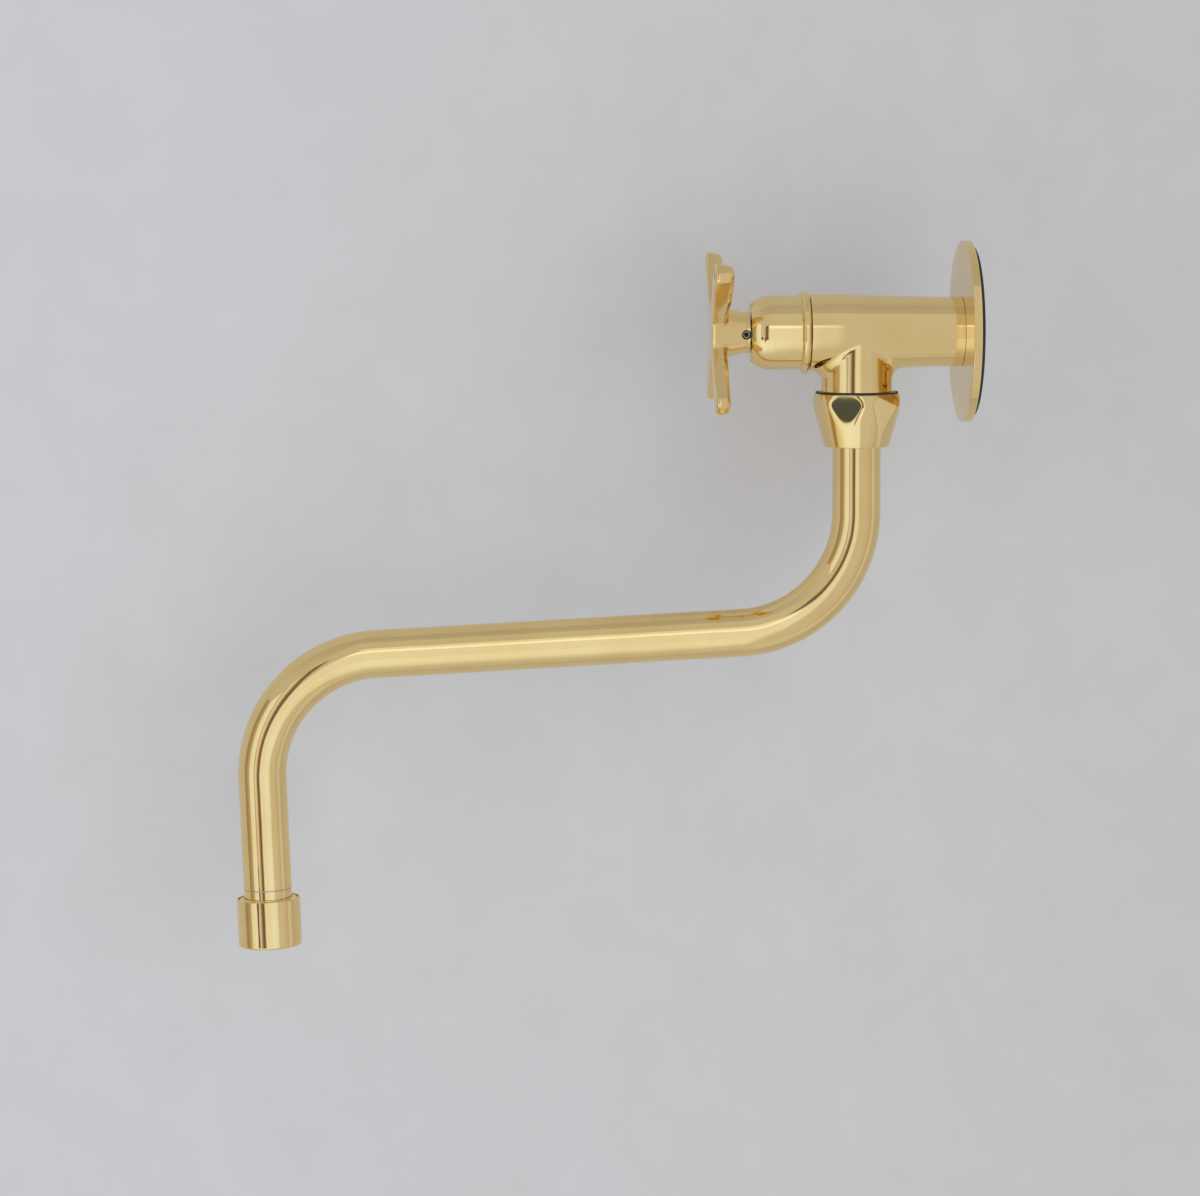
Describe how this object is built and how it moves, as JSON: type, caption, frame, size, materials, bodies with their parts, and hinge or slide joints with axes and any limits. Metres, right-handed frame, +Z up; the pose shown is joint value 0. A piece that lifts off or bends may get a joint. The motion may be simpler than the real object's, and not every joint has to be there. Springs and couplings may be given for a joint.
{
  "type": "wall mounted pot filler",
  "caption": "Wall mounted cold-water pot filler: round wall flange, horizontal tee body with cross handle, and a long swivelling S-bend spout ending in an aerator.",
  "frame": {"origin": "centre of the threaded inlet socket in the plane of the wall, where the back of the gasket rests", "axes": "+Z up, +Y into the wall along the inlet and the tap's axis, so the tap faces -Y; the spout's S-bend lies in the YZ plane at rest"},
  "size_m": [0.0676, 0.2761, 0.2623],
  "materials": {
    "polished_brass": "mirror polished, unlacquered gold colour",
    "turned_brass": "turned, unpolished",
    "black_rubber": "matt",
    "white_ceramic": "lapped",
    "white_plastic": "moulded",
    "spring_steel": "plain",
    "dark_steel": "blackened",
    "red_fibre": "pressed fibre"
  },
  "bodies": {
    "tap": {"wall_gasket": "black_rubber", "wall_flange": "polished_brass", "inlet_washer": "red_fibre", "tap_body": "polished_brass", "seat_seal": "black_rubber", "fixed_ceramic_disc": "white_ceramic", "cartridge_body": "turned_brass", "bonnet": "polished_brass", "nut_top_ring": "black_rubber", "union_nut": "polished_brass"},
    "handle": {"moving_ceramic_disc": "white_ceramic", "spindle": "turned_brass", "spindle_o_ring_1": "black_rubber", "spindle_o_ring_2": "black_rubber", "spindle_clip": "spring_steel", "thrust_washer": "white_plastic", "cross_handle": "polished_brass", "grub_screw": "dark_steel"},
    "spout": {"glide_washer": "white_plastic", "spout_ferrule": "turned_brass", "spout_o_ring_1": "black_rubber", "spout_o_ring_2": "black_rubber", "spout_tube": "polished_brass", "outlet_sleeve": "polished_brass", "aerator_housing": "polished_brass", "aerator_washer": "black_rubber", "aerator_insert": "white_plastic", "strainer": "spring_steel"}
  },
  "joints": [
    {"name": "handle_turn", "type": "hinge", "parent": "tap", "child": "handle", "pos_m": [0, -0.09, 0], "axis": [0, -1, 0], "range_deg": [0, 90]},
    {"name": "spout_swivel", "type": "hinge", "parent": "tap", "child": "spout", "pos_m": [0, -0.0434, -0.03], "axis": [0, 0, 1], "range_deg": [-90, 90]}
  ]
}
